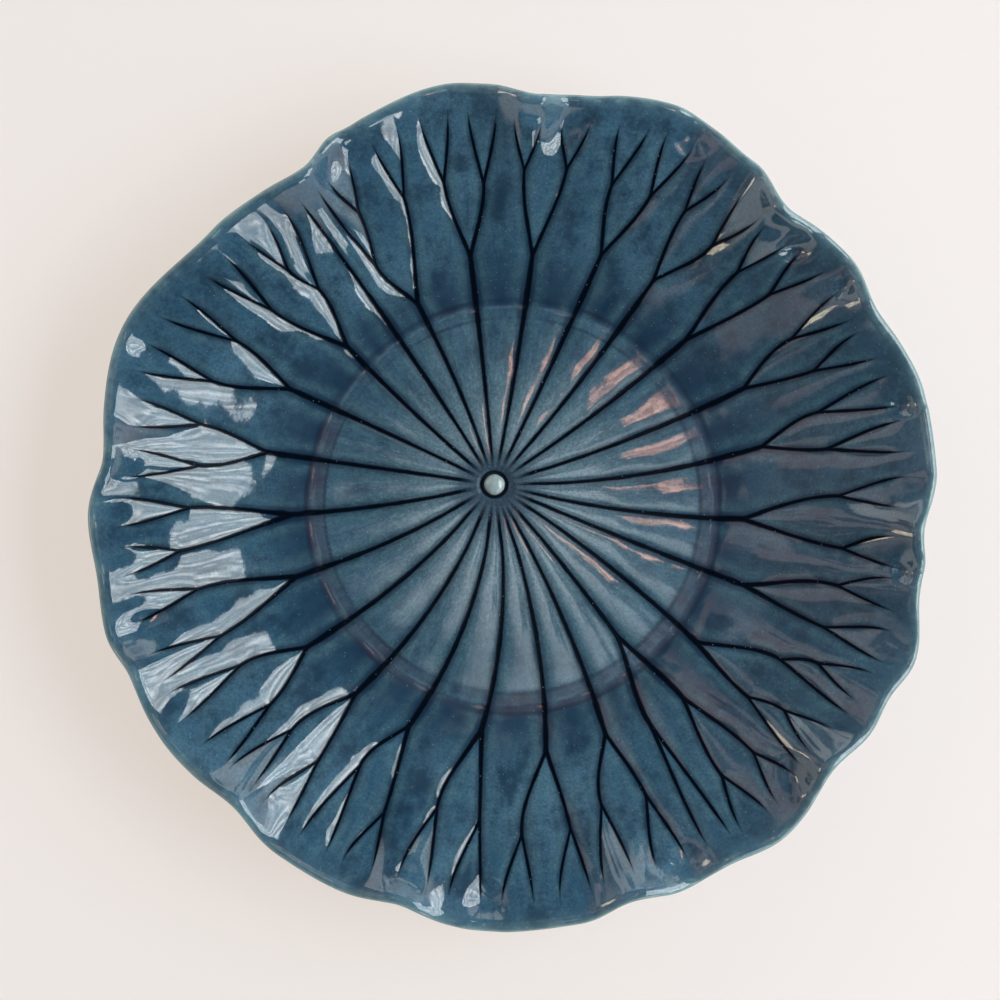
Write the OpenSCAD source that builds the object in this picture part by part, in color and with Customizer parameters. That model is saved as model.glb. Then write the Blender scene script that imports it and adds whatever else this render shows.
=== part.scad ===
// A round stoneware plate in the form of a lotus leaf: a flat well, a ruffled wall, veins that
// fan out from an off-centre hub and fork towards the rim, a boss on the hub and a foot ring.
// Three pieces of clay are joined with slip before firing: the leaf, the foot ring and the boss.
// Millimetres, +Z up. The origin is on the table, under the middle of the foot ring.

/* [Leaf] */
// Mean radius of the rim
rim_r = 126; // [115:1:140]
// Mean height of the rim above the table
rim_h = 38; // [33:1:45]
// Radius of the flat well
well_r = 62; // [56:1:68]
// Thickness of the clay in the well
clay_t = 6; // [4.5:0.5:7.5]
// Thickness of the clay at the rounded lip
lip_t = 3.6; // [2.8:0.2:4.6]
// How far the rounded lip rolls out from the end of the wall
lip_w = 3; // [1.8:0.2:4]
// Slope of the wall where it leaves the well, in degrees
wall_slope = 11; // [7:1:15]
// Slope of the wall where it meets the lip, in degrees
lip_slope = 27; // [22:1:31]
// Width of the crease around the well
crease_w = 2.4; // [1.6:0.2:4]
// Depth of the crease around the well
crease_d = 0.4; // [0.2:0.1:0.8]

/* [Ruffle] */
// How far a full lobe stands out from the mean rim
ruffle_out = 4; // [2:0.5:6]
// How far a full lobe hangs below the mean rim
ruffle_drop = 2.5; // [1.5:0.5:4]
// Share of the way up the wall at which the ruffle starts
ruffle_start = 0.4; // [0.2:0.05:0.6]
// Rise of the highest fold, where the rim is pinched up
fold_h = 5; // [2:0.5:7]
// How far the highest fold draws the rim in
fold_in = 2.75; // [1.5:0.25:4]
// Width of a fold along the rim
fold_w = 30; // [20:2:40]
// Share of the way up the wall at which the folds start
fold_start = 0.6; // [0.4:0.05:0.75]

/* [Veins] */
// Width of a vein near the hub
vein_w = 2.4; // [1.8:0.1:3]
// Width of a vein at its tip
tip_w = 1.6; // [1.2:0.1:2.2]
// Depth of a vein near the hub
vein_d = 1.2; // [0.6:0.1:2]
// Depth of a vein in its last branches
tip_d = 0.8; // [0.4:0.1:1.2]
// Angle between the two tips of a last fork, in degrees
tip_fan = 4.4; // [3.4:0.2:5]
// Rise of the leaf between two veins
crown_h = 0.7; // [0.3:0.1:1]

/* [Hub and boss] */
// Place of the hub, right of the plate's middle
hub_x = -6; // [-9:0.5:9]
// Place of the hub, beyond the plate's middle
hub_y = 7; // [-9:0.5:9]
// Diameter of the boss
boss_d = 7; // [5:0.5:10]
// Height of the boss above its seat
boss_h = 3; // [2:0.25:4.5]
// Height of the boss's straight side, below its dome
boss_side_h = 1; // [0.5:0.1:1.5]
// Gap between the boss and the side of its seat
moat_w = 1.2; // [0.8:0.1:2]
// Depth of the boss's seat below the well
seat_d = 1; // [0.5:0.1:1.6]

/* [Foot] */
// Height of the foot ring
foot_h = 7; // [5:0.5:10]
// Width of the foot ring where it joins the leaf
foot_w = 7; // [5:0.5:10]
// Width of the face that stands on the table
foot_face_w = 3.6; // [2.4:0.2:4.6]
// Distance from the edge of the well in to the foot ring
foot_inset = 6; // [4:0.5:9]
// Radius that rounds the foot ring's lower edges
foot_round = 1; // [0.5:0.1:1.4]

/* [Hidden] */
$fn = 96;

hub = [hub_x, hub_y];
well_z = foot_h + clay_t;
boss_r = boss_d / 2;
seat_r = boss_r + moat_w;
seat_z = well_z - seat_d;
foot_out_r = well_r - foot_inset;
wall_run = rim_r - lip_w - well_r;

// The rim's lobes and notches as [angle round the hub, share of a full lobe]
rim_wave = [
    [2, 0.4], [12, 0.55], [24, -0.35], [30, 0], [42, -0.8], [51, 0.05], [63, 1.2], [80, -0.25],
    [90, 0.35], [97, 0.75], [114, -0.4], [121, -1.5], [127, -1.45], [138, -0.9], [158, 1], [176, -0.25],
    [185, 0.55], [193, 0.25], [202, 0.7], [208, 0.2], [217, 0.25], [231, -0.5], [240, 0.05],
    [248, 0.15], [257, -0.1], [269, 0.5], [281, 0.2], [288, -0.4], [296, 0.05], [301, -0.2],
    [309, 0.65], [320, -0.25], [327, 0.25], [331, 0.1], [337, 0.9], [346, -0.45], [349, -0.2],
    [354, -0.55]
];

// The folds pinched up in the rim as [angle round the hub, share of the highest fold]
rim_folds = [
    [26, 0.6], [44, 1], [85, 1], [122.5, 0.6], [176, 0.5], [208, 0.4], [231, 0.6], [257, 0.7], [289, 0.6],
    [320, 0.6], [352, 0.6]
];

// The veins. Each is [angle at the hub, fork], and a fork is [angle, place, branch, branch], where
// a place is -1 at the hub, 0 at the edge of the well and 1 at the lip. A branch is another fork,
// [angle, place] for a last fork with two tips, or [angle] for a single tip.
veins = [
    [1, [8, 0.28, [6, 0.57], [12.5, 0.57]]],
    [17, [21, 0.31, [19.5, 0.64], [26, 0.64]]],
    [34, [37, 0.22, [34.5, 0.66], [41, 0.66]]],
    [49, [52, 0.34, [47.5, 0.65], [55, 0.68]]],
    [64, [65, 0.32, [61.5, 0.64], [68.5, 0.64]]],
    [79, [80.5, 0.28, [77, 0.7], [84.5, 0.7]]],
    [95, [96, 0.27, [92, 0.6], [99.5, 0.62]]],
    [109, [113, 0.14, [107.5, 0.63], [118.5, 0.43, [116.5, 0.68], [121]]]],
    [122, [124.5]],
    [139, [137, 0.18, [132, 0.5, [127.5], [134, 0.67]], [142, 0.58]]],
    [154, [155, 0.26, [151, 0.59], [160, 0.59]]],
    [172, [172, 0.28, [168.5, 0.6], [176.5, 0.6]]],
    [192, [188.5, 0.12, [184.5, 0.6], [192, 0.66]]],
    [211, [205, 0.15, [199.5, 0.6], [209, 0.6]]],
    [229, [221, 0.26, [215.5, 0.57], [224.5, 0.57]]],
    [247, [236.5, 0.24, [230.5, 0.6], [237.5, 0.6]]],
    [263, [250.5, 0.23, [244.5, 0.5], [251.5, 0.65]]],
    [277, [267, 0.14, [260, 0.56], [267.5, 0.56]]],
    [289, [281, 0.24, [274.5, 0.62], [282.5, 0.62]]],
    [299, [294, 0.24, [288.5, 0.58], [296, 0.58]]],
    [311, [309, -0.14, [303, 0.3, [300.5], [304]], [311.5, 0.28, [308, 0.66], [314, 0.69]]]],
    [326, [322, 0.16, [320, 0.53, [317.5], [322, 0.7]], [328.5, 0.53, [327], [331, 0.69]]]],
    [337, [338, 0.22, [336.5, 0.62], [343.5, 0.66]]],
    [347, [352, 0.17, [349.5, 0.66], [358, 0.62]]]
];
// Places where the trunks start to turn, where the tips start to fade and where they end
root_place = -0.75;
fade_place = 0.78;
tip_place = 0.94;
// Share of a fork's lean that its tips follow
tip_lean = 0.5;
// Places over which the trunks deepen from the hub
hub_fade = 0.12;
// Veins closer than this run as one, and panels wider than this get a crown
merge_gap = 0.35;
crown_gap = 2.6;
// Gap at which a panel's crown has its full rise
full_crown_gap = 14;
// Shares of the way across a panel at which its first lip and its crown are joined to the next ring
lip_share = 0.3;
crown_share = 0.5;

// Places of the rings of points, from the hub to the lip, with three for the crease
well_steps = 7;
wall_steps = 14;
under_steps = 7;
under_columns = 96;
crease_in = crease_w / 2 / (well_r - seat_r);
crease_out = crease_w / 2 / wall_run;
top_places = concat(
    [for (i = [0:well_steps]) -1 + (1 - crease_in) * i / well_steps],
    [0],
    [for (i = [0:wall_steps]) crease_out + (1 - crease_out) * i / wall_steps]
);
lip_turns = [45, 0, -45, -90];
// Steps in the rounding of the foot ring's edges and in the boss's dome
corner_steps = 6;
dome_steps = 12;

function mix(low, high, share) = low + (high - low) * share;
function clamp(share) = min(1, max(0, share));
function smooth(share) = let (u = clamp(share)) u * u * (3 - 2 * u);

// Distance from the hub, at an angle, to a circle round the plate's middle
function to_circle(angle, radius) =
    let (along = -hub * [cos(angle), sin(angle)])
    along + sqrt(radius * radius - hub * hub + along * along);

// The ruffle at an angle: 1 on a full lobe, negative in a notch, eased between the named ones
function lobe(angle) =
    let (
        a = (angle % 360 + 360) % 360,
        last = len(rim_wave) - 1,
        after = [for (i = [0:last]) if (rim_wave[i][0] > a) i],
        next = len(after) == 0 ? 0 : after[0],
        prior = next == 0 ? last : next - 1,
        span = (rim_wave[next][0] - rim_wave[prior][0] + 360) % 360,
        share = ((a - rim_wave[prior][0] + 360) % 360) / span
    )
    mix(rim_wave[prior][1], rim_wave[next][1], smooth(share));

// The folds at an angle: 1 on the highest fold and 0 away from the folds
function fold(angle) =
    let (
        aways = [for (f = rim_folds) abs((angle - f[0] + 900) % 360 - 180) * PI / 180 * rim_r],
        rises = [for (i = [0:len(rim_folds) - 1])
            rim_folds[i][1] * (1 + cos(180 * clamp(aways[i] / (fold_w / 2)))) / 2]
    )
    rises * [for (rise = rises) 1];
// Distance from the hub to the lip, drawn in at the folds
function rim_reach(angle) =
    to_circle(angle, rim_r) + ruffle_out * lobe(angle) - fold_in * fold(angle) - lip_w;

// Distance from the hub at an angle and place
function reach(angle, place) =
    let (edge = to_circle(angle, well_r))
    place < 0
        ? mix(seat_r, edge, 1 + place)
        : mix(edge, rim_reach(angle), place);

// Height of the smooth leaf: flat in the well, then a wall whose slope is set at both ends
function wall_rise(place) =
    let (p2 = place * place, p3 = p2 * place)
    (3 * p2 - 2 * p3) * (rim_h - well_z)
        + (p3 - 2 * p2 + place) * wall_run * tan(wall_slope)
        + (p3 - p2) * wall_run * tan(lip_slope);
function ruffle_rise(angle, place) =
    -ruffle_drop * lobe(angle) * pow(clamp((place - ruffle_start) / (1 - ruffle_start)), 2);
function fold_rise(angle, place) =
    fold_h * fold(angle) * pow(clamp((place - fold_start) / (1 - fold_start)), 2);
function height(angle, place) =
    place <= 0
        ? well_z
        : well_z + wall_rise(place) + ruffle_rise(angle, place) + fold_rise(angle, place);
function thickness(place) = mix(clay_t, lip_t, clamp(place));

function at(angle, distance, z) = [hub.x + distance * cos(angle), hub.y + distance * sin(angle), z];

// Every vein from the hub to one tip, as a list of [place, angle]
function tips(fork, trail, lean) =
    len(fork) == 1
        ? [concat(trail, [[tip_place, fork[0]]])]
        : let (here = concat(trail, [[fork[1], fork[0]]]))
          len(fork) == 2
            ? [for (side = [-1, 1]) concat(here, [[tip_place, fork[0] + lean + side * tip_fan / 2]])]
            : let (turn = tip_lean * ((fork[2][0] + fork[3][0]) / 2 - fork[0]))
              concat(tips(fork[2], here, turn), tips(fork[3], here, turn));
paths = [for (vein = veins) each tips(vein[1], [[root_place, vein[0]]], 0)];

// A trunk turns at a steady rate, and a branch swings out of its fork and then runs straight
function path_angle(path, place) =
    let (
        last = len(path) - 1,
        passed = [for (i = [0:last]) if (path[i][0] <= place) i],
        i = len(passed) == 0 ? -1 : passed[len(passed) - 1]
    )
    i < 0 ? path[0][1]
    : i == last ? path[last][1]
    : let (share = (place - path[i][0]) / (path[i + 1][0] - path[i][0]))
      mix(path[i][1], path[i + 1][1], i == 0 ? share : sin(90 * share));

function vein_width(place) = mix(vein_w, tip_w, smooth(place));
function vein_depth(place) =
    mix(vein_d, tip_d, smooth(place))
        * smooth((place + 1) / hub_fade)
        * smooth((tip_place - place) / (tip_place - fade_place));

// The points of a ring from one vein to the next, as [angle, depth below the smooth leaf, share of
// the way across]. Two veins that still run as one give an empty list, and a panel has its lips
// and a crown.
function panel(start, end, place) =
    let (
        degree = reach(start, place) * PI / 180,
        gap = (end - start) * degree,
        half = vein_width(place) / 2,
        depth = vein_depth(place),
        middle = (start + end) / 2,
        crown = -crown_h * smooth(gap / full_crown_gap) * smooth((place + 1) / hub_fade)
            * smooth((1 - place) / (1 - fade_place))
    )
    gap < merge_gap ? []
    : gap < 2 * half ? [[start, depth, 0], [middle, depth * (1 - gap / 2 / half), crown_share]]
    : depth == 0 ? [[start, 0, 0], [middle, crown, crown_share]]
    : concat(
        [[start, depth, 0], [start + half / degree, 0, lip_share]],
        gap - 2 * half > crown_gap ? [[middle, crown, crown_share]] : [],
        [[end - half / degree, 0, 1 - lip_share]]
    );
function panels(place) =
    let (angles = [for (path = paths) path_angle(path, place)], count = len(angles))
    [for (i = [0:count - 1])
        panel(angles[i], i == count - 1 ? angles[0] + 360 : angles[i + 1], place)];

// The running sum of a list of counts, from 0 to the whole
function sums(counts) =
    [for (i = 0, total = 0; i <= len(counts);
        total = total + (i < len(counts) ? counts[i] : 0), i = i + 1) total];

// Triangles between two rows of points, given as indices and how far along its row each point is.
// The first row is the one nearer the hub on the top of the leaf.
function stitch(a, b, a_along, b_along, i = 0, j = 0) =
    i == len(a) - 1 && j == len(b) - 1 ? []
    : j == len(b) - 1 || (i < len(a) - 1 && a_along[i + 1] < b_along[j + 1])
        ? concat([[a[i], a[i + 1], b[j]]], stitch(a, b, a_along, b_along, i + 1, j))
        : concat([[a[i], b[j + 1], b[j]]], stitch(a, b, a_along, b_along, i, j + 1));

// The leaf of clay: rings of points along the top, round the lip and back under to the foot's seat
module leaf() {
    rim_panels = panels(1);
    seat_panels = panels(-1);
    top_rings = concat([seat_panels], [for (place = top_places) panels(place)],
        [for (turn = lip_turns) rim_panels]);
    first_angle = rim_panels[0][0][0];
    under_angles = [for (i = [0:under_columns - 1]) first_angle + 360 * i / under_columns];
    under_places = [for (i = [1:under_steps]) 1 - i / under_steps];

    seat_floor = [for (p = seat_panels) for (v = p) at(v[0], seat_r - seat_d / 2, seat_z)];
    top = [for (k = [0:len(top_places) - 1]) let (place = top_places[k])
        for (p = top_rings[k + 1]) for (v = p)
            at(v[0], reach(v[0], place),
                height(v[0], place) - v[1] - (place == 0 ? crease_d : 0))];
    lip = [for (turn = lip_turns) for (p = rim_panels) for (v = p)
        at(v[0], reach(v[0], 1) + lip_w * cos(turn),
            height(v[0], 1) - lip_t / 2 + lip_t / 2 * sin(turn))];
    under = [for (place = under_places) for (a = under_angles)
        at(a, reach(a, place), height(a, place) - thickness(place))];
    points = concat(seat_floor, top, lip, under, [[hub.x, hub.y, seat_z], [hub.x, hub.y, foot_h]]);

    offsets = [for (ring = top_rings) sums([for (p = ring) len(p)])];
    sizes = [for (o = offsets) o[len(o) - 1]];
    starts = sums(sizes);
    function row(k, from, to) = [for (i = [from:to]) starts[k] + i % sizes[k]];
    function panel_row(k, i) = row(k, offsets[k][i], offsets[k][i + 1]);
    function panel_shares(k, i) = concat([for (v = top_rings[k][i]) v[2]], [1]);
    top_faces = [for (k = [0:len(top_rings) - 2]) for (i = [0:len(paths) - 1])
        each stitch(panel_row(k, i), panel_row(k + 1, i), panel_shares(k, i), panel_shares(k + 1, i))];

    last = len(top_rings) - 1;
    under_start = starts[len(top_rings)];
    function under_row(k) =
        [for (i = [0:under_columns]) under_start + k * under_columns + i % under_columns];
    lip_angles = concat([for (p = rim_panels) for (v = p) v[0]], [first_angle + 360]);
    under_row_angles = concat(under_angles, [first_angle + 360]);
    under_faces = concat(
        stitch(row(last, 0, sizes[last]), under_row(0), lip_angles, under_row_angles),
        [for (k = [0:under_steps - 2])
            each stitch(under_row(k), under_row(k + 1), under_row_angles, under_row_angles)]
    );

    seat_middle = len(points) - 2;
    foot_middle = len(points) - 1;
    floor_row = row(0, 0, sizes[0]);
    inner_row = under_row(under_steps - 1);
    caps = concat(
        [for (i = [0:sizes[0] - 1]) [seat_middle, floor_row[i + 1], floor_row[i]]],
        [for (i = [0:under_columns - 1]) [inner_row[i], inner_row[i + 1], foot_middle]]
    );
    color("#274c63") polyhedron(points, concat(top_faces, under_faces, caps), convexity = 6);
}

// The foot ring: a turned ring, wide where it is luted to the leaf and rounded where it stands
module foot_ring() {
    middle_r = foot_out_r - foot_w / 2;
    function corner(side, turn) =
        [middle_r + side * (foot_face_w / 2 + foot_round * sin(turn)), foot_round * (1 - cos(turn))];
    color("#8a7a68") rotate_extrude()
        polygon(concat(
            [[middle_r + foot_w / 2, foot_h], [middle_r - foot_w / 2, foot_h]],
            [for (i = [corner_steps:-1:0]) corner(-1, 90 * i / corner_steps)],
            [for (i = [0:corner_steps]) corner(1, 90 * i / corner_steps)]
        ));
}

// The boss: a pellet of clay pressed into a shallow seat on the hub, with a domed top
module centre_boss() {
    dome_h = boss_h - boss_side_h;
    color("#6f8c93") translate([hub.x, hub.y, seat_z]) rotate_extrude()
        polygon(concat(
            [[0, 0], [boss_r, 0]],
            [for (i = [0:dome_steps - 1]) let (turn = 90 * i / dome_steps)
                [boss_r * cos(turn), boss_side_h + dome_h * sin(turn)]],
            [[0, boss_h]]
        ));
}

leaf();
foot_ring();
centre_boss();
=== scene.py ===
# %% [markdown]
# # A glazed leaf plate
# The real plate is a round leaf of stoneware: a flat well, a sloping wall with a ruffled rim, and veins
# that fan out from an off-centre boss and fork towards the edge. It was carved while the clay was soft
# and then dipped in a glossy blue glaze, which pools dark in the carving and runs thin on the rim.
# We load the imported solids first. They are the fixed frame, in metres, and nothing may leave their box.

# %% Load the frame
import bisect
import functools
import math

import bmesh
import bpy
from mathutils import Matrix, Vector, noise


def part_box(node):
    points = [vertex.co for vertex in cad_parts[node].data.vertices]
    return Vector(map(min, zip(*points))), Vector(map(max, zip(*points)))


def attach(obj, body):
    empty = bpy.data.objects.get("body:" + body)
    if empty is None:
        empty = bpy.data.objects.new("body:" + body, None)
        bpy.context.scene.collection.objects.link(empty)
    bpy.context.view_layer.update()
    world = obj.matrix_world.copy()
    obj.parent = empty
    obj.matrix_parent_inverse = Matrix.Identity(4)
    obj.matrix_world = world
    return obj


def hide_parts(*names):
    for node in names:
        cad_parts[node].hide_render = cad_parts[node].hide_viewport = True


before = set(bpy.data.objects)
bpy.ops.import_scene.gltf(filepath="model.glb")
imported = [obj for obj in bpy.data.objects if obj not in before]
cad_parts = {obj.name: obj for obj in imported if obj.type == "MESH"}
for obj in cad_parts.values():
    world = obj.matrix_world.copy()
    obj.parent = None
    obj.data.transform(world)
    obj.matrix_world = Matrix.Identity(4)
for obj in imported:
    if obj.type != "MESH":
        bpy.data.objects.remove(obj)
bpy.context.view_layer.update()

# %% [markdown]
# What the solids show by themselves is measured from them: where the boss sits, how high the foot ring
# is and how wide. The other sizes are the plate's own, in millimetres, as a potter would note them.

# %% Sizes in millimetres
MM = 0.001
boss_low, boss_high = (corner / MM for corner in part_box("centre_boss"))
foot_low, foot_high = (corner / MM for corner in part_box("foot_ring"))
hub = ((boss_low + boss_high) / 2).xy
boss_r = (boss_high.x - boss_low.x) / 2
seat_z = boss_low.z
foot_h = foot_high.z
foot_out_r = foot_high.x

rim_r = 126
rim_h = 38
well_r = 62
clay_t = 6
lip_t = 3.6
lip_w = 3
wall_slope = 11
lip_slope = 27
crease_w = 2.4
crease_d = 0.4
ruffle_out = 4
ruffle_drop = 2.5
ruffle_start = 0.4
fold_h = 5
fold_in = 2.75
fold_w = 30
fold_start = 0.6
vein_w = 2.4
tip_w = 1.6
vein_d = 1.2
tip_d = 0.8
tip_fan = 4.4
crown_h = 0.7
moat_w = 1.2
foot_w = 7
foot_face_w = 3.6
foot_round = 1

# The glaze rounds the crease and lowers the folds a little.
crease_ease = 5
lip_drop = 0.5

well_z = foot_h + clay_t
seat_r = boss_r + moat_w
seat_d = well_z - seat_z
wall_run = rim_r - lip_w - well_r
rim_degree = math.radians(rim_r)
fade_place = 0.78
print("hub", [round(x, 2) for x in hub], "boss radius", round(boss_r, 2), "well height", round(well_z, 2))

# %% [markdown]
# ## The leaf's form
# A leaf has no simple profile, so its form is a few rules. Every point has an angle round the hub and a
# place: -1 at the hub, 0 at the edge of the well and 1 at the lip. The rules turn these into a distance
# and a height. The rim's lobes and notches are a short list of angles and shares, eased from one to the
# next. At the notches the clay was pinched, so the rim stands up in folds, also angles with shares. The
# thumb marks beside them have an angle, a place, a radius and a depth.

# %% Rules for the outline and the wall
rim_wave = [
    (2, 0.4), (12, 0.55), (24, -0.35), (30, 0), (42, -0.8), (51, 0.05), (63, 1.2), (80, -0.25),
    (90, 0.35), (97, 0.75), (114, -0.4), (121, -1.5), (127, -1.45), (138, -0.9), (158, 1), (176, -0.25),
    (185, 0.55), (193, 0.25), (202, 0.7), (208, 0.2), (217, 0.25), (231, -0.5), (240, 0.05),
    (248, 0.15), (257, -0.1), (269, 0.5), (281, 0.2), (288, -0.4), (296, 0.05), (301, -0.2),
    (309, 0.65), (320, -0.25), (327, 0.25), (331, 0.1), (337, 0.9), (346, -0.45), (349, -0.2),
    (354, -0.55),
]
wave_angles = [angle for angle, share in rim_wave]
rim_folds = [
    (26, 0.6), (44, 1), (85, 1), (122.5, 0.6), (176, 0.5), (208, 0.4), (231, 0.6), (257, 0.7), (289, 0.6),
    (320, 0.6), (352, 0.6),
]
thumb_marks = [
    (11, 0.94, 5, 2), (29, 0.95, 4, 1.4), (38, 0.91, 6.5, 2.7), (42.5, 0.94, 5, 1.6), (60, 0.98, 9, 1.8),
    (75, 0.98, 7, 1.6), (79, 0.9, 11, 3.4), (84, 0.95, 5, 1.4), (113, 0.96, 8, 1.8), (118, 0.94, 5, 1.2),
    (158, 0.91, 7, 1.2), (177, 0.94, 7, 1.2), (203, 0.88, 9, 1.4), (257.5, 0.93, 7, 1.8),
    (269, 0.92, 8, 2), (297, 0.97, 9, 2), (316, 0.91, 7, 1.6), (348, 0.96, 5, 1.9),
]


def mix(low, high, share):
    return low + (high - low) * share


def clamp(share):
    return min(1, max(0, share))


def smooth(share):
    share = clamp(share)
    return share * share * (3 - 2 * share)


def slope(degrees):
    return math.tan(math.radians(degrees))


def direction(angle):
    return Vector((math.cos(math.radians(angle)), math.sin(math.radians(angle))))


def to_circle(angle, radius):
    """Distance from the hub, at an angle, to a circle round the plate's middle."""
    along = -hub.dot(direction(angle))
    return along + math.sqrt(radius**2 - hub.length_squared + along**2)


def lobe(angle):
    """The ruffle at an angle: 1 on a full lobe, negative in a notch."""
    after = bisect.bisect(wave_angles, angle % 360)
    low_angle, low = rim_wave[after - 1]
    high_angle, high = rim_wave[after % len(rim_wave)]
    share = ((angle - low_angle) % 360) / ((high_angle - low_angle) % 360)
    return mix(low, high, smooth(share))


def hump(share):
    """1 in the middle, easing to 0 where the share is 1."""
    return 0.5 + 0.5 * math.cos(math.pi * min(1, share))


@functools.lru_cache(maxsize=None)
def fold(angle):
    """The folds at an angle: 1 on the highest fold and 0 away from the folds."""
    aways = [abs((angle - at + 180) % 360 - 180) * rim_degree for at, share in rim_folds]
    return sum(share * hump(away / (fold_w / 2)) for (at, share), away in zip(rim_folds, aways))


def thumb_dent(angle, place):
    """How deep the rim is pressed in by the thumb marks round a point."""
    depth = 0
    for at, over, radius, deep in thumb_marks:
        across = ((angle - at + 180) % 360 - 180) * rim_degree
        along = (place - over) * wall_run
        depth += deep * max(0, 1 - (across**2 + along**2) / radius**2) ** 2
    return depth


def reach(angle, place):
    """Distance from the hub."""
    edge = to_circle(angle, well_r)
    if place < 0:
        return mix(seat_r, edge, 1 + place)
    lip = to_circle(angle, rim_r) + ruffle_out * lobe(angle) - fold_in * fold(angle) - lip_w
    return mix(edge, lip, place)


def height(angle, place):
    """Height of the smooth leaf over the table."""
    if place <= 0:
        return well_z
    square, cube = place**2, place**3
    rise = (3 * square - 2 * cube) * (rim_h - well_z)
    rise += (cube - 2 * square + place) * wall_run * slope(wall_slope)
    rise += (cube - square) * wall_run * slope(lip_slope)
    run = min(place * wall_run, crease_ease)
    rise -= (run - run**2 / (2 * crease_ease)) * slope(wall_slope) * (1 - place) ** 2
    rise -= lip_drop * min(1, fold(angle)) * smooth((place - fade_place) / (1 - fade_place))
    ruffle = ruffle_drop * lobe(angle) * clamp((place - ruffle_start) / (1 - ruffle_start)) ** 2
    pinch = fold_h * fold(angle) * clamp((place - fold_start) / (1 - fold_start)) ** 2
    return well_z + rise - ruffle + pinch - thumb_dent(angle, place)


deepest_notch = min(rim_wave, key=lambda point: point[1])[0]
print("rim height in the deepest notch", round(height(deepest_notch, 1), 1), "mm")

# %% [markdown]
# ## The veins
# Each vein leaves the hub, turns a little, forks, and forks again near the rim. A vein is written as its
# angle at the hub and a fork, a fork as its angle, its place and two branches, and a branch with only an
# angle is a single tip. A short function walks each tree and lists the way from the hub to every tip.
# The dark line in a vein has a width of its own, as a share of the groove's: it is fine at the hub, swells
# where the glaze pools on the inner wall and is drawn out at the tips.

# %% The vein trees
veins = [
    (1, (8, 0.28, (6, 0.57), (12.5, 0.57))),
    (17, (21, 0.31, (19.5, 0.64), (26, 0.64))),
    (34, (37, 0.22, (34.5, 0.66), (41, 0.66))),
    (49, (52, 0.34, (47.5, 0.65), (55, 0.68))),
    (64, (65, 0.32, (61.5, 0.64), (68.5, 0.64))),
    (79, (80.5, 0.28, (77, 0.7), (84.5, 0.7))),
    (95, (96, 0.27, (92, 0.6), (99.5, 0.62))),
    (109, (113, 0.14, (107.5, 0.63), (118.5, 0.43, (116.5, 0.68), (121,)))),
    (122, (124.5,)),
    (139, (137, 0.18, (132, 0.5, (127.5,), (134, 0.67)), (142, 0.58))),
    (154, (155, 0.26, (151, 0.59), (160, 0.59))),
    (172, (172, 0.28, (168.5, 0.6), (176.5, 0.6))),
    (192, (188.5, 0.12, (184.5, 0.6), (192, 0.66))),
    (211, (205, 0.15, (199.5, 0.6), (209, 0.6))),
    (229, (221, 0.26, (215.5, 0.57), (224.5, 0.57))),
    (247, (236.5, 0.24, (230.5, 0.6), (237.5, 0.6))),
    (263, (250.5, 0.23, (244.5, 0.5), (251.5, 0.65))),
    (277, (267, 0.14, (260, 0.56), (267.5, 0.56))),
    (289, (281, 0.24, (274.5, 0.62), (282.5, 0.62))),
    (299, (294, 0.24, (288.5, 0.58), (296, 0.58))),
    (311, (309, -0.14, (303, 0.3, (300.5,), (304,)), (311.5, 0.28, (308, 0.66), (314, 0.69)))),
    (326, (322, 0.16, (320, 0.53, (317.5,), (322, 0.7)), (328.5, 0.53, (327,), (331, 0.69)))),
    (337, (338, 0.22, (336.5, 0.62), (343.5, 0.66))),
    (347, (352, 0.17, (349.5, 0.66), (358, 0.62))),
]
root_place = -0.75
tip_place = 0.94
tip_lean = 0.5
hub_fade = 0.12
ink_fade = 0.09
ink_at_hub = 0.5
ink_at_wall = 0.75
ink_at_rim = 0.9
ink_at_tip = 0.35
ink_widens = 1.2
ink_thins = 0.5
ink_swell = 0.25
swell_place = 0.14
swell_reach = 0.25


def ways(fork, trail, lean=0):
    """Every way from the hub to a tip, as a list of (place, angle)."""
    if len(fork) == 1:
        return [trail + [(tip_place, fork[0])]]
    here = trail + [(fork[1], fork[0])]
    if len(fork) == 2:
        return [here + [(tip_place, fork[0] + lean + side * tip_fan / 2)] for side in (-1, 1)]
    turn = tip_lean * ((fork[2][0] + fork[3][0]) / 2 - fork[0])
    return ways(fork[2], here, turn) + ways(fork[3], here, turn)


paths = [way for root, fork in veins for way in ways(fork, [(root_place, root)])]


def path_angle(path, place):
    """A trunk turns at a steady rate, and a branch swings out of its fork and then runs straight."""
    passed = bisect.bisect([p for p, angle in path], place) - 1
    if passed < 0:
        return path[0][1]
    if passed == len(path) - 1:
        return path[-1][1]
    (low_place, low), (high_place, high) = path[passed], path[passed + 1]
    share = (place - low_place) / (high_place - low_place)
    return mix(low, high, share if passed == 0 else math.sin(math.pi / 2 * share))


@functools.lru_cache(maxsize=None)
def vein_angles(place):
    """The angle of every way at a place, with the first one again at the end."""
    angles = [path_angle(path, place) for path in paths]
    return angles + [angles[0] + 360]


def vein_half(place):
    """Half the width of a groove."""
    return mix(vein_w, tip_w, smooth(place)) / 2


def ink_half(place):
    """Half the width of the dark line in a vein."""
    share = mix(ink_at_hub, ink_at_wall, smooth((place + 1) / ink_widens))
    share *= mix(1, ink_at_rim, smooth(place / ink_thins))
    share *= 1 + ink_swell * hump(abs(place - swell_place) / swell_reach)
    share *= mix(ink_at_tip, 1, smooth((tip_place - place) / (tip_place - fade_place)))
    return vein_half(place) * share


def vein_strength(place):
    """Full along a vein, and fading out at the hub and at the tips."""
    return smooth((place + 1) / hub_fade) * smooth((tip_place - place) / (tip_place - fade_place))


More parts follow.
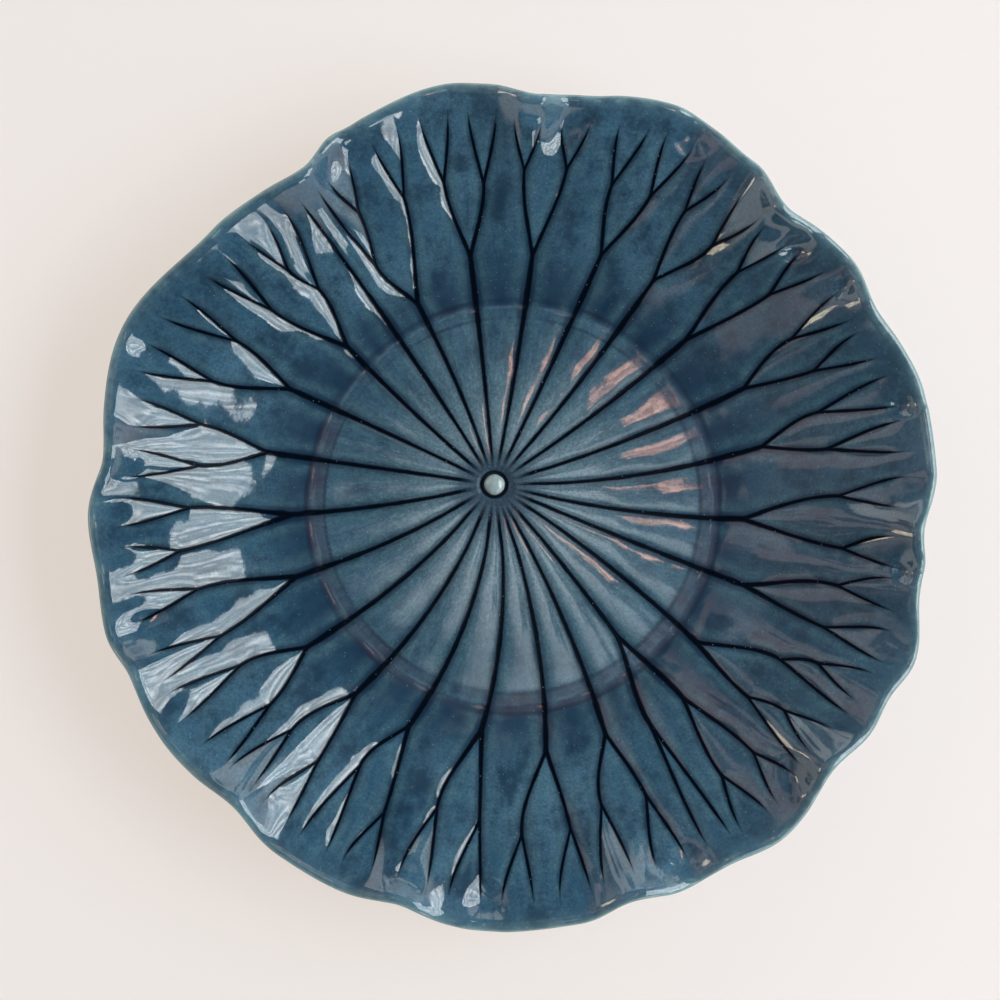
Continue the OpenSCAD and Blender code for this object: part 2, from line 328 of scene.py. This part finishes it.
def ink_strength(place):
    """The dark line runs on a little after the groove has faded out."""
    return smooth((place + 1) / hub_fade) * smooth((tip_place - place) / ink_fade)


print(len(veins), "veins with", len(paths), "tips")

# %% [markdown]
# ## Rolling up the leaf
# A plain spin would give straight columns that cross the slanting veins and leave saw teeth along them. So
# we start from a flat grid, with a row for each station along the leaf's section and a fixed number of
# columns for each panel between two tips, and put every point where the rules want it. Its columns then
# follow the veins. Where veins still run as one, their columns fall together and are welded, and so are the
# grid's two sides. The glaze nearly fills the carving, so a groove is a shallow dip here and shows by its
# dark line.

# %% Rules for the carving
panel_columns = 12
full_crown_gap = 14
glaze_fill = 0.95
groove_spread = 1.5
wobble_size = 16
wobble_h = 0.16
ripple_size = 6
ripple_h = 0.05
halo_w = 3.2
lip_trim = 0.05
lip_lean = 0.36
well_crown = 0.35
well_crown_from = -0.9
well_crown_ease = 0.4
well_crown_to = 0.15
far_off = 9
tiny = 1e-6


@functools.lru_cache(maxsize=None)
def panel_span(panel, place):
    """A panel's two veins at a place, the length of a degree there and half the gap between the veins."""
    start, end = vein_angles(place)[panel:panel + 2]
    degree = reach(start, place) * math.pi / 180
    return start, end, degree, (end - start) * degree / 2


def column_point(column, place):
    """Where a column runs at a place: its angle, its distance from the nearest vein, and half the gap."""
    panel, step = divmod(column, panel_columns)
    start, end, degree, half_gap = panel_span(panel, place)
    share = 1 - abs(2 * step / panel_columns - 1)
    crowd = min(1, 2 * vein_half(place) / max(half_gap, tiny))
    from_vein = half_gap * (crowd * share + (1 - crowd) * share**3)
    near_start = step <= panel_columns / 2
    angle = start + from_vein / degree if near_start else end - from_vein / degree
    return angle, from_vein, half_gap


def relief(place, from_vein, half_gap):
    """Height of the carving over the smooth leaf: grooves, the crowns between them and the crease."""
    depth = mix(vein_d, tip_d, smooth(place)) * vein_strength(place) * (1 - glaze_fill)
    groove = depth * hump(from_vein / (vein_half(place) * groove_spread))
    crown = crown_h * smooth(2 * half_gap / full_crown_gap)
    crown *= smooth((place + 1) / hub_fade) * smooth((1 - place) / (1 - fade_place))
    flat_start = smooth((place - well_crown_from) / well_crown_ease)
    flat_end = smooth((well_crown_to - place) / well_crown_to)
    crown *= mix(1, well_crown, flat_start * flat_end)
    crown *= math.sin(math.pi / 2 * clamp(from_vein / max(half_gap, tiny)))
    run = well_r - seat_r if place < 0 else wall_run
    crease = crease_d * (1 - glaze_fill) * hump(abs(place) * run / crease_w)
    return crown - groove - crease


print(panel_columns, "columns to a panel, glaze fills", glaze_fill, "of a groove")

# %% [markdown]
# Each kind of station has its own rule: the boss's seat, the carved upper side, the round lip and the
# smooth underside. A rule gives the point and five marks for the glaze: the distance from the vein in
# half widths of its dark line, the line's strength, the place, the distance from the edge of the rim,
# and how strong the halo beside the vein is.

# %% Stations along the section, from the boss's seat over the lip to the foot
seat_ink = 0.8
halo_gap = 0.6
halo_least = 0.01


def seat_point(column, share):
    spot = direction(panel_span(column // panel_columns, -1)[0]) * (seat_r - seat_d / 2) * share
    return spot, seat_z, (0, seat_ink, -1, rim_r, 1)


def top_point(column, place):
    angle, from_vein, half_gap = column_point(column, place)
    spot = direction(angle) * reach(angle, place)
    wobble = wobble_h * noise.noise((*(spot / wobble_size), 0)) * smooth((1 - place) / (1 - fade_place))
    wobble += ripple_h * noise.noise((*(spot / ripple_size), 1))
    z = height(angle, place) + relief(place, from_vein, half_gap) + wobble
    halo = smooth(1 - from_vein / min(halo_w, halo_gap * half_gap + halo_least)) * vein_strength(place)
    line_halves = min(far_off, from_vein / ink_half(place))
    return spot, z, (line_halves, ink_strength(place), place, (1 - place) * wall_run + lip_w, halo)


def lip_point(column, turn):
    angle = column_point(column, 1)[0]
    turn = math.radians(turn)
    spot = direction(angle) * (reach(angle, 1) + (lip_w - lip_trim) * math.cos(turn))
    z = height(angle, 1) - lip_t / 2 * (1 - math.sin(turn)) + lip_lean * lip_w * math.cos(turn)
    return spot, z, (far_off, 0, 1, lip_w * math.sin(turn), 0)


def under_point(column, place):
    angle = column_point(column, 1)[0]
    distance = reach(angle, max(place, 0)) * min(1, 1 + place)
    z = height(angle, place) - mix(clay_t, lip_t, clamp(place))
    return direction(angle) * distance, z, (far_off, 0, 1, -lip_w - (1 - place) * wall_run, 0)


well_steps = 24
wall_steps = 60
lip_steps = 8
under_steps = 10
crease_steps = 6
seat_shares = (0, 0.5, 0.85, 1)
under_well_places = (-0.35, -0.7, -1)
crease_in = crease_w / (well_r - seat_r)
crease_out = crease_w / wall_run
stations = [(seat_point, share) for share in seat_shares]
stations += [(top_point, mix(-1, -crease_in, i / well_steps)) for i in range(well_steps)]
stations += [(top_point, mix(-crease_in, 0, i / crease_steps)) for i in range(crease_steps)]
stations += [(top_point, mix(0, crease_out, i / crease_steps)) for i in range(crease_steps)]
stations += [(top_point, mix(crease_out, 1, i / wall_steps)) for i in range(wall_steps + 1)]
stations += [(lip_point, mix(90, -90, i / lip_steps)) for i in range(1, lip_steps)]
stations += [(under_point, 1 - i / under_steps) for i in range(under_steps + 1)]
stations += [(under_point, place) for place in under_well_places]
columns = len(paths) * panel_columns
print(len(stations), "stations and", columns, "columns")


# %% Place the grid's points and weld what falls together
def finished_mesh(bm, name, weld):
    """Weld a bmesh, turn its faces outwards, shade it smooth and make it an object."""
    bmesh.ops.remove_doubles(bm, verts=bm.verts, dist=weld * MM)
    bmesh.ops.recalc_face_normals(bm, faces=bm.faces)
    for face in bm.faces:
        face.smooth = True
    mesh = bpy.data.meshes.new(name)
    bm.to_mesh(mesh)
    bm.free()
    piece = bpy.data.objects.new(name, mesh)
    bpy.context.scene.collection.objects.link(piece)
    triangles = sum(len(polygon.vertices) - 2 for polygon in mesh.polygons)
    print(name, len(mesh.vertices), "points and", triangles, "triangles")
    return piece


MARKS = ("vein", "ink", "place", "edge", "halo")
bm = bmesh.new()
bmesh.ops.create_grid(bm, x_segments=columns, y_segments=len(stations) - 1, size=0.5)
layers = [bm.verts.layers.float.new(name) for name in MARKS]
for vert in bm.verts:
    rule, value = stations[round((vert.co.y + 0.5) * (len(stations) - 1))]
    column = round((vert.co.x + 0.5) * columns) % columns
    spot, z, marks = rule(column, value)
    vert.co = Vector((*(spot + hub), z)) * MM
    for layer, mark in zip(layers, marks):
        vert[layer] = mark
leaf = finished_mesh(bm, "glazed_leaf", weld=0.02)

# %% [markdown]
# ## The foot ring
# The foot is a ring of clay turned on the wheel: wide where it is luted to the leaf, drawn in a little by
# the turning tool, and rounded where it stands. A section spun once round the middle gives all of it.

# %% Spin the foot ring
foot_middle = foot_out_r - foot_w / 2
foot_spin_steps = 192
corner_steps = 6
throat_steps = 8
stand_half = foot_face_w / 2


def foot_side(side):
    """One side of the foot's section, from the table up to the leaf."""
    turns = [math.pi / 2 * i / corner_steps for i in range(corner_steps + 1)]
    points = [(stand_half + foot_round * math.sin(t), foot_round * (1 - math.cos(t))) for t in turns]
    for i in range(1, throat_steps + 1):
        share = i / throat_steps
        flare = mix(stand_half + foot_round, foot_w / 2, share**2)
        points.append((flare, mix(foot_round, foot_h, share)))
    return [(foot_middle + side * across, z) for across, z in points]


bm = bmesh.new()
section = [bm.verts.new((x * MM, 0, z * MM)) for x, z in foot_side(1) + foot_side(-1)[::-1]]
edges = [bm.edges.new(pair) for pair in zip(section, section[1:] + section[:1])]
bmesh.ops.spin(bm, geom=section + edges, axis=(0, 0, 1), angle=2 * math.pi, steps=foot_spin_steps,
               use_merge=True)
foot = finished_mesh(bm, "turned_foot_ring", weld=0.001)

# %% [markdown]
# ## The boss
# The boss is a pellet of clay that was rolled between two fingers and pressed into a shallow seat. Its
# dome is a quarter of an ellipse over a short straight side, spun round the hub and then moved a hair by
# noise, because no pellet is quite round.

# %% Spin the boss
boss_h = boss_high.z - seat_z
boss_side_h = 1
boss_edge = 0.3
boss_dome_steps = 14
boss_spin_steps = 64
boss_wobble = 0.12
dome_turns = [math.pi / 2 * i / boss_dome_steps for i in range(boss_dome_steps + 1)]
section_points = [(0, 0), (boss_r - boss_edge, 0), (boss_r - boss_edge / 3, boss_edge / 3)]
section_points += [(boss_r * math.cos(t), mix(boss_side_h, boss_h, math.sin(t))) for t in dome_turns]

bm = bmesh.new()
section = [bm.verts.new((x, 0, z)) for x, z in section_points]
edges = [bm.edges.new(pair) for pair in zip(section, section[1:])]
bmesh.ops.spin(bm, geom=section + edges, axis=(0, 0, 1), angle=2 * math.pi, steps=boss_spin_steps,
               use_merge=True)
for vert in bm.verts:
    inward = 1 - boss_wobble * (0.5 + 0.5 * noise.noise(vert.co / boss_r))
    vert.co = Vector((hub.x + vert.co.x * inward, hub.y + vert.co.y * inward, seat_z + vert.co.z)) * MM
boss = finished_mesh(bm, "clay_boss", weld=0.01)

# %% [markdown]
# ## The glaze
# A celadon-like glaze is a thick coloured glass over pale clay. Where it lies thick it is nearly black, on
# the open panels it is a clouded blue, and where it runs thin, on the lips of the carving and on the rim,
# the clay shows through as a pale grey-green. The leaf carries what is needed: its five marks. A few
# helpers do the rest: they read a hex colour, add a node, and make the soft ramps, sums, noises and
# blends that every finish below is made of.

# %% Helpers for materials
def rgb(code):
    """A hex colour as linear red, green, blue and alpha."""
    parts = [int(code[i:i + 2], 16) / 255 for i in (1, 3, 5)]
    return [c / 12.92 if c <= 0.04045 else ((c + 0.055) / 1.055) ** 2.4 for c in parts] + [1]


def add(tree, kind, settings=None, **sockets):
    """A new node with settings, values and links. A socket is given by its name, or by s and its number."""
    made = tree.nodes.new("ShaderNode" + kind)
    for name, value in (settings or {}).items():
        setattr(made, name, value)
    for name, value in sockets.items():
        key = int(name[1:]) if name[1:].isdigit() else name.replace("_", " ")
        if isinstance(value, bpy.types.NodeSocket):
            tree.links.new(value, made.inputs[key])
        else:
            made.inputs[key].default_value = value
    return made.outputs[2] if kind == "Mix" else made.outputs[0]


def new_material(name):
    material = bpy.data.materials.new(name)
    material.use_nodes = True
    return material, material.node_tree, material.node_tree.nodes["Principled BSDF"]


def soft(tree, value, start, end, low=0.0, high=1.0):
    """A soft ramp: low where the value is at the start, high where it is at the end."""
    ramp = {"interpolation_type": "SMOOTHSTEP"}
    return add(tree, "MapRange", ramp, Value=value, s1=start, s2=end, s3=low, s4=high)


def calc(tree, operation, *values):
    """A sum on single values, such as MULTIPLY or MAXIMUM."""
    sockets = {f"s{i}": value for i, value in enumerate(values)}
    return add(tree, "Math", {"operation": operation}, **sockets)


def speckle(tree, where, size, detail, roughness=0.5):
    """Noise with spots of a size in millimetres."""
    return add(tree, "TexNoise", Vector=where, Scale=1 / (size * MM), Detail=detail, Roughness=roughness)


def blend(tree, share, low, high):
    """From one colour to another."""
    return add(tree, "Mix", {"data_type": "RGBA"}, s0=share, s6=low, s7=high)


glass_rough = 0.05
glass_ior = 1.55
print("glaze: index of refraction", glass_ior)

# %% [markdown]
# The glaze is built as a painter would: a clouded ground, then layers, each with a mask. A mask is a soft
# range of one of the leaf's marks, made uneven with noise whose size is a real one. First come the marks
# and the noises. Some noise is drawn out along the veins, as the glaze was when it ran.

# %% Stoneware under a pooled blue glaze: marks and noises
cloud_size = 26
blot_size = 13
mottle_size = 5
grain_size = 0.8
peel_size = 2.2
speck_spacing = 2.2
speck_r = 0.2
streak_turns = 8.0
streak_run = 50.0
brush_run = 60.0

glaze, tree, shader = new_material("stoneware_pooled_blue_glaze")
spot = tree.nodes.new("ShaderNodeTexCoord").outputs["Object"]
mark = {}
for name in MARKS:
    reader = tree.nodes.new("ShaderNodeAttribute")
    reader.attribute_name = name
    mark[name] = reader.outputs["Fac"]

clouds = speckle(tree, spot, cloud_size, 3.0, 0.55)
blots = speckle(tree, spot, blot_size, 5.0, 0.68)
mottle = speckle(tree, spot, mottle_size, 4.0, 0.6)
grain = speckle(tree, spot, grain_size, 3.0, 0.7)
peel = speckle(tree, spot, peel_size, 2.0)
cells = add(tree, "TexVoronoi", Vector=spot, Scale=1 / (speck_spacing * MM))

from_hub = add(tree, "VectorMath", {"operation": "SUBTRACT"}, s0=spot, s1=(hub.x * MM, hub.y * MM, 0))
axes = add(tree, "SeparateXYZ", Vector=from_hub).node.outputs
flat = add(tree, "VectorMath", {"operation": "MULTIPLY"}, s0=from_hub, s1=(1, 1, 0))
outward = add(tree, "VectorMath", {"operation": "NORMALIZE"}, s0=flat)
turned = add(tree, "VectorMath", {"operation": "SCALE"}, s0=outward, Scale=streak_turns)


def drawn_out(run, scale, detail, roughness):
    """Noise that changes fast round the hub and slowly away from it."""
    along = add(tree, "VectorMath", {"operation": "SCALE"}, s0=flat, Scale=run)
    where = add(tree, "VectorMath", {"operation": "ADD"}, s0=turned, s1=along)
    return add(tree, "TexNoise", Vector=where, Scale=scale, Detail=detail, Roughness=roughness)


streaks = drawn_out(streak_run, 1.6, 4.0, 0.55)
strand_noise = drawn_out(streak_run, 7.0, 3.0, 0.6)
brush = drawn_out(brush_run, 2.5, 4.0, 0.65)
print(glaze.name, "reads the marks", ", ".join(mark))

# %% [markdown]
# The masks follow the leaf from the hub outwards. In the flat well the glaze is thin and streaked, round
# the boss it pools, and at the foot of the wall it pools again. On the right, where the wall faces away
# from the window, it is darkened and greyed with painted shade. The glaze runs thin on the rim, and right
# on the edge a line of clay is bare. Each soft ramp below says where its layer starts, where it is full and
# how strong it gets.

# %% Masks from the hub to the rim
cloud_mask = soft(tree, clouds, 0.35, 0.65)
mottle_mask = soft(tree, mottle, 0.45, 0.68, high=0.65)
brush_mask = soft(tree, brush, 0.45, 0.7, high=0.55)
blot_mask = soft(tree, blots, 0.38, 0.68, high=0.85)
grain_mask = add(tree, "MapRange", Value=grain, s1=0.35, s2=0.65, s3=0.0, s4=0.5)
speck_edge = speck_r / speck_spacing
specks = soft(tree, cells, speck_edge, speck_edge / 2, high=0.25)

in_well = soft(tree, mark["place"], 0.04, -0.06)
well_tone = calc(tree, "MULTIPLY", in_well, 0.35)
streak_mask = soft(tree, streaks, 0.45, 0.75, high=0.5)
well_streaks = calc(tree, "MULTIPLY", streak_mask, in_well)
strand_mask = soft(tree, strand_noise, 0.5, 0.72, high=0.4)
near_hub = soft(tree, mark["place"], -0.1, -0.5)
strands = calc(tree, "MULTIPLY", strand_mask, near_hub)
hub_tone = soft(tree, mark["place"], -0.3, -0.7, high=0.5)
hub_place = calc(tree, "MULTIPLY_ADD", blots, 0.4, mark["place"])
hub_pool = soft(tree, hub_place, -0.53, -0.78, high=0.65)

pool_low = soft(tree, mark["place"], 0.0, 0.04)
pool_high = soft(tree, mark["place"], 0.38, 0.07, high=0.8)
pool = calc(tree, "MULTIPLY", pool_low, pool_high)
# Painted shade: the right side of the wall, which faces away from the window, is painted darker and greyer.
painted_shade_across = soft(tree, axes["X"], 45 * MM, 95 * MM, high=0.5)
painted_shade_wall_mask = soft(tree, mark["place"], 0.1, 0.4)
painted_shade_far_side = calc(tree, "MULTIPLY", painted_shade_across, painted_shade_wall_mask)

wavy_edge = calc(tree, "MULTIPLY_ADD", mottle, -2.0, mark["edge"])
rim_glow = soft(tree, wavy_edge, 6.0, 1.0, high=0.15)
thin_top = soft(tree, wavy_edge, 2.3, 0.0, high=0.6)
thin_under = soft(tree, wavy_edge, -13.0, -4.5)
thin = calc(tree, "MULTIPLY", thin_top, thin_under)
bare_low = soft(tree, mark["edge"], -1.6, -0.4)
bare_high = soft(tree, mark["edge"], 0.9, -0.2, high=0.7)
bare_line = calc(tree, "MULTIPLY", bare_low, bare_high)
print("the hub, the well, the wall and the rim have their masks")

# %% [markdown]
# The crease round the well is a dull mauve band with a fine dark line on each side of it, and both come
# and go. A vein is a dark line in a soft halo, between lips that the glaze has left a little pale.

# %% Masks for the crease and the veins
from_crease = calc(tree, "ABSOLUTE", mark["place"])
crease_fade = soft(tree, clouds, 0.38, 0.62, low=0.3)
crease_side = soft(tree, axes["Y"], 55 * MM, 10 * MM, low=0.2)
crease_band = soft(tree, from_crease, 0.065, 0.03, high=0.5)
crease_cloud = calc(tree, "MULTIPLY", crease_band, crease_fade)
crease = calc(tree, "MULTIPLY", crease_cloud, crease_side)
beside_crease = calc(tree, "SUBTRACT", from_crease, 0.05)
from_line = calc(tree, "ABSOLUTE", beside_crease)
line_mask = soft(tree, from_line, 0.016, 0.004, high=0.5)
crease_line = calc(tree, "MULTIPLY", line_mask, crease_fade)

uneven = add(tree, "MapRange", Value=mottle, s1=0.2, s2=0.8, s3=1.35, s4=0.65)
vein_way = calc(tree, "MULTIPLY", mark["vein"], uneven)
core = soft(tree, vein_way, 1.25, 0.5)
ink = calc(tree, "MULTIPLY", core, mark["ink"])
halo_mottle = add(tree, "MapRange", Value=mottle, s1=0.3, s2=0.7, s3=0.85, s4=0.45)
halo = calc(tree, "MULTIPLY", mark["halo"], halo_mottle)
lip_low = soft(tree, mark["vein"], 1.6, 2.6)
lip_high = soft(tree, mark["vein"], 7.0, 2.8)
lip_band = calc(tree, "MULTIPLY", lip_low, lip_high)
lip_ink = calc(tree, "MULTIPLY", lip_band, mark["ink"])
lip_mottle = soft(tree, mottle, 0.25, 0.75, low=0.1, high=0.5)
lips = calc(tree, "MULTIPLY", lip_ink, lip_mottle)
print("the crease and the veins have their masks")

# %% [markdown]
# Now the layers go on in order, each over what is there. The gloss is that of glass, with a faint peel in
# its surface. In the dark lines it is turned down, because a groove mirrors its own dark sides.

# %% Lay the glaze on
colour = blend(tree, cloud_mask, rgb("#305369"), rgb("#4e7287"))
for mask, code in (
    (mottle_mask, "#466a78"),
    (brush_mask, "#41657a"),
    (blot_mask, "#12283d"),
    (well_tone, "#3c5463"),
    # painted shade on the right side of the wall
    (painted_shade_far_side, "#2f3b44"),
    (pool, "#13293f"),
    (well_streaks, "#5b7b88"),
    (hub_tone, "#7a8f98"),
    (strands, "#8ba3ab"),
    (lips, "#4f727b"),
    (grain_mask, "#1c3345"),
    (crease, "#403a47"),
    (crease_line, "#1d1c2a"),
    (rim_glow, "#5f808a"),
    (thin, "#8fada9"),
    (bare_line, "#74715d"),
    (hub_pool, "#10243a"),
    (halo, "#0b1c2d"),
    (ink, "#040a14"),
    (specks, "#b4c2c4"),
):
    colour = blend(tree, mask, colour, rgb(code))
tree.links.new(colour, shader.inputs["Base Color"])

dull_crease = soft(tree, from_crease, 0.085, 0.05, high=0.75)
dull_hub = soft(tree, mark["place"], -0.8, -0.9, high=0.85)
dull_lines = calc(tree, "MAXIMUM", ink, dull_crease)
dull = calc(tree, "MAXIMUM", dull_lines, dull_hub)
sheen = add(tree, "MapRange", Value=dull, s3=0.5, s4=0.02)
tree.links.new(sheen, shader.inputs["Specular IOR Level"])
bump = add(tree, "Bump", Height=peel, Strength=0.45, Distance=0.02 * MM)
tree.links.new(bump, shader.inputs["Normal"])
shader.inputs["Roughness"].default_value = glass_rough
shader.inputs["IOR"].default_value = glass_ior
leaf.data.materials.append(glaze)
print(leaf.name, "wears", glaze.name, "with", len(tree.nodes), "nodes")

# %% [markdown]
# On the boss the same glaze has run off the dome, so it is pale on top and dark where it meets its seat.

# %% Stoneware under a thin glaze, for the boss
boss_mottle_size = 1.5
boss_dark_h = 0.6
boss_pale_h = 0.7 * boss_h

thin_glaze, tree, shader = new_material("stoneware_thin_blue_glaze")
spot = tree.nodes.new("ShaderNodeTexCoord").outputs["Object"]
level = add(tree, "SeparateXYZ", Vector=spot).node.outputs["Z"]
boss_mottle = speckle(tree, spot, boss_mottle_size, 3.0)
dome = soft(tree, level, (seat_z + boss_dark_h) * MM, (seat_z + boss_pale_h) * MM)
pale = blend(tree, boss_mottle, rgb("#71868b"), rgb("#a6b5b3"))
colour = blend(tree, dome, rgb("#0b1826"), pale)
tree.links.new(colour, shader.inputs["Base Color"])
shader.inputs["Roughness"].default_value = glass_rough
shader.inputs["IOR"].default_value = glass_ior
boss.data.materials.append(thin_glaze)
print(boss.name, "wears", thin_glaze.name)

# %% [markdown]
# The foot is glazed on its sides, and its standing face is wiped bare before the firing, so that it doesn't
# stick to the kiln shelf. Bare stoneware is buff, matt and a little gritty.

# %% Stoneware wiped bare, for the foot
grit_size = 0.8
grit_h = 0.1
wave_size = 9
wave_h = 1.2
bare_h = 0.5
glazed_h = 0.9

bare_clay, tree, shader = new_material("stoneware_bare_and_glazed_foot")
spot = tree.nodes.new("ShaderNodeTexCoord").outputs["Object"]
level = add(tree, "SeparateXYZ", Vector=spot).node.outputs["Z"]
grit = speckle(tree, spot, grit_size, 4.0)
wavy = speckle(tree, spot, wave_size, 2.0)
line = calc(tree, "MULTIPLY_ADD", wavy, -wave_h * MM, level)
glazed = soft(tree, line, bare_h * MM, glazed_h * MM)
clay = blend(tree, grit, rgb("#a58a6c"), rgb("#c9b091"))
blue = blend(tree, wavy, rgb("#16314a"), rgb("#2b4c60"))
colour = blend(tree, glazed, clay, blue)
tree.links.new(colour, shader.inputs["Base Color"])
rough = add(tree, "MapRange", Value=glazed, s3=0.85, s4=0.08)
tree.links.new(rough, shader.inputs["Roughness"])
bump = add(tree, "Bump", Height=grit, Strength=0.4, Distance=grit_h * MM)
tree.links.new(bump, shader.inputs["Normal"])
foot.data.materials.append(bare_clay)
print(foot.name, "wears", bare_clay.name)

# %% [markdown]
# ## Riding the frame
# Nothing on the plate moves, so the whole of it is one body. Each new piece stands for its solid.

# %% Pieces to the frame
for piece, node, slot in (
    (leaf, "leaf", "leaf_glaze"),
    (foot, "foot_ring", "bare_foot"),
    (boss, "centre_boss", "boss_glaze"),
):
    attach(piece, "root")
    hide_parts(node)
    print(piece.name, "stands for", node)

# %% [markdown]
# ## Floor, light and camera
# A dark gloss shows its surroundings as much as its colour. Looking straight down, the flat well mirrors
# what is above it, and each wall mirrors the far side of the room. The floor is a plain matt one. It looks
# pale because it glows a little to the camera and to mirrors, but it adds no light to the plate.

# %% Floor
floor_size = 40
floor_glow = 0.62
floor_rough = 0.9

bm = bmesh.new()
bmesh.ops.create_grid(bm, x_segments=1, y_segments=1, size=floor_size / 2)
floor_mesh = bpy.data.meshes.new("pale_floor")
bm.to_mesh(floor_mesh)
bm.free()
floor = bpy.data.objects.new("pale_floor", floor_mesh)
bpy.context.scene.collection.objects.link(floor)
floor_paint, tree, shader = new_material("matt_pale_floor")
shader.inputs["Base Color"].default_value = rgb("#868a94")
shader.inputs["Emission Color"].default_value = rgb("#fff1e2")
rays = tree.nodes.new("ShaderNodeLightPath").outputs
seen = calc(tree, "MAXIMUM", rays["Is Camera Ray"], rays["Is Glossy Ray"])
glow = calc(tree, "MULTIPLY", seen, floor_glow)
tree.links.new(glow, shader.inputs["Emission Strength"])
shader.inputs["Roughness"].default_value = floor_rough
floor.data.materials.append(floor_paint)
print(floor.name, floor_size, "m wide")

# %% [markdown]
# The sky is a pale ring round a dark ceiling. Soft patches change it where a wall of the plate would mirror
# it: each has a direction, the angle at which it starts, the angle at which it is full, and a colour. A
# noise breaks the whole sky up like the things in a room, except near the horizon, which stays plain.

# %% Sky
sky_strength = 2.9
room_scale = 5.0
horizon_top = 25
horizon_low = 15

world = bpy.data.worlds.new("soft_room")
bpy.context.scene.world = world
world.use_nodes = True
tree = world.node_tree
look = tree.nodes.new("ShaderNodeTexCoord").outputs["Generated"]
ring = rgb("#bdbcbb")
sky_patches = (
    ((0, 0, 1), 60, 48, "#373e42"),
    ((0, -0.6, 0.8), 34, 12, "#191e23"),
    ((0.35, -0.75, 0.55), 50, 25, "#2a3036"),
    ((-0.61, -0.61, 0.5), 42, 18, "#2b3238"),
    ((-0.7, 0.05, 0.7), 34, 12, "#8a7a7a"),
    ((0.07, -0.012, 1), 9.5, 2, "#c9d2d6"),
    ((0.08, 0.3, 0.95), 13, 6, "#6d7478"),
)
colour = ring
for towards, start, full, code in sky_patches:
    middle = Vector(towards).normalized()
    turn = add(tree, "VectorMath", {"operation": "DOT_PRODUCT"}, s0=look, s1=middle).node.outputs["Value"]
    mask = soft(tree, turn, math.cos(math.radians(start)), math.cos(math.radians(full)))
    colour = blend(tree, mask, colour, rgb(code))
room = add(tree, "TexNoise", Vector=look, Scale=room_scale, Detail=3.0, Roughness=0.5)
shade = soft(tree, room, 0.46, 0.54, low=0.3, high=1.6)
colour = add(tree, "VectorMath", {"operation": "SCALE"}, s0=colour, Scale=shade)
rise = add(tree, "SeparateXYZ", Vector=look).node.outputs["Z"]
horizon = soft(tree, rise, math.sin(math.radians(horizon_top)), math.sin(math.radians(horizon_low)))
colour = blend(tree, horizon, colour, ring)
background = tree.nodes["Background"]
tree.links.new(colour, background.inputs["Color"])
background.inputs["Strength"].default_value = sky_strength
print(world.name, "with", len(sky_patches), "patches")

# %% [markdown]
# A large cloudy window on the right lights the plate and gives the left wall its pale reflections. Three
# small sheets only put a glint where one is wanted, so they add nothing to the light on the clay: a warm
# lamp over the well, a lamp on the left and a window in front. The camera sees none of the four.

# %% Window and lamps
def glowing_sheet(name, size, place, aim_at, cloud, codes, shine):
    """A cloudy bright sheet, in millimetres, turned to a point and hidden from the camera."""
    bm = bmesh.new()
    bmesh.ops.create_grid(bm, x_segments=1, y_segments=1, size=0.5)
    bmesh.ops.scale(bm, vec=(size[0] * MM, size[1] * MM, 1), verts=bm.verts)
    mesh = bpy.data.meshes.new(name)
    bm.to_mesh(mesh)
    bm.free()
    sheet = bpy.data.objects.new(name, mesh)
    sheet.location = Vector(place) * MM
    sheet.rotation_euler = (Vector(aim_at) - Vector(place)).to_track_quat("Z", "Y").to_euler()
    sheet.visible_camera = False
    bpy.context.scene.collection.objects.link(sheet)
    material, tree, shader = new_material(name + "_glow")
    spot = tree.nodes.new("ShaderNodeTexCoord").outputs["Object"]
    tone = soft(tree, speckle(tree, spot, cloud, 5.0, 0.6), 0.4, 0.7)
    colour = blend(tree, tone, rgb(codes[0]), rgb(codes[1]))
    strength = add(tree, "MapRange", Value=tone, s3=shine[0], s4=shine[1])
    tree.links.new(colour, shader.inputs["Emission Color"])
    tree.links.new(strength, shader.inputs["Emission Strength"])
    mesh.materials.append(material)
    print(name, size, "mm")
    return sheet


daylight = ("#d3dfe2", "#f7fbfd")
copper = ("#f5a583", "#ffd6c2")
cream = ("#efdcb6", "#fff4de")
glowing_sheet("window", (1100, 640), (872, 0, 899), (-95, 0, 28), 110, daylight, (5.0, 15.0))
for sheet in (
    ("warm_lamp", (110, 95), (175, 85, 1300), (0, 0, 0), 26, copper, (3.0, 16.0)),
    ("left_lamp", (260, 180), (-1050, 60, 640), (100, 0, 40), 60, cream, (5.0, 13.0)),
    ("front_window", (460, 340), (560, -860, 640), (0, 100, 40), 70, daylight, (4.0, 12.0)),
):
    glowing_sheet(*sheet).visible_diffuse = False

# %% [markdown]
# The camera looks straight down from half a metre over the rim. Its lens and its place follow from the size
# of a pixel at the rim and from where the middle of the plate should fall in the picture.

# %% Camera
picture_size = 1000
plate_pixel = (514, 507)
rim_pixel = 0.2993
camera_over_rim = 500
sensor = 36
camera_data = bpy.data.cameras.new("camera")
camera_data.sensor_width = sensor
camera_data.lens = sensor * camera_over_rim / rim_pixel / picture_size
camera = bpy.data.objects.new("camera", camera_data)
camera_x = (picture_size / 2 - plate_pixel[0]) * rim_pixel
camera_y = (plate_pixel[1] - picture_size / 2) * rim_pixel
camera.location = Vector((camera_x, camera_y, rim_h + camera_over_rim)) * MM
bpy.context.scene.collection.objects.link(camera)
bpy.context.scene.camera = camera
bpy.context.scene.view_settings.view_transform = "Standard"
print("lens", round(camera_data.lens, 1), "mm")
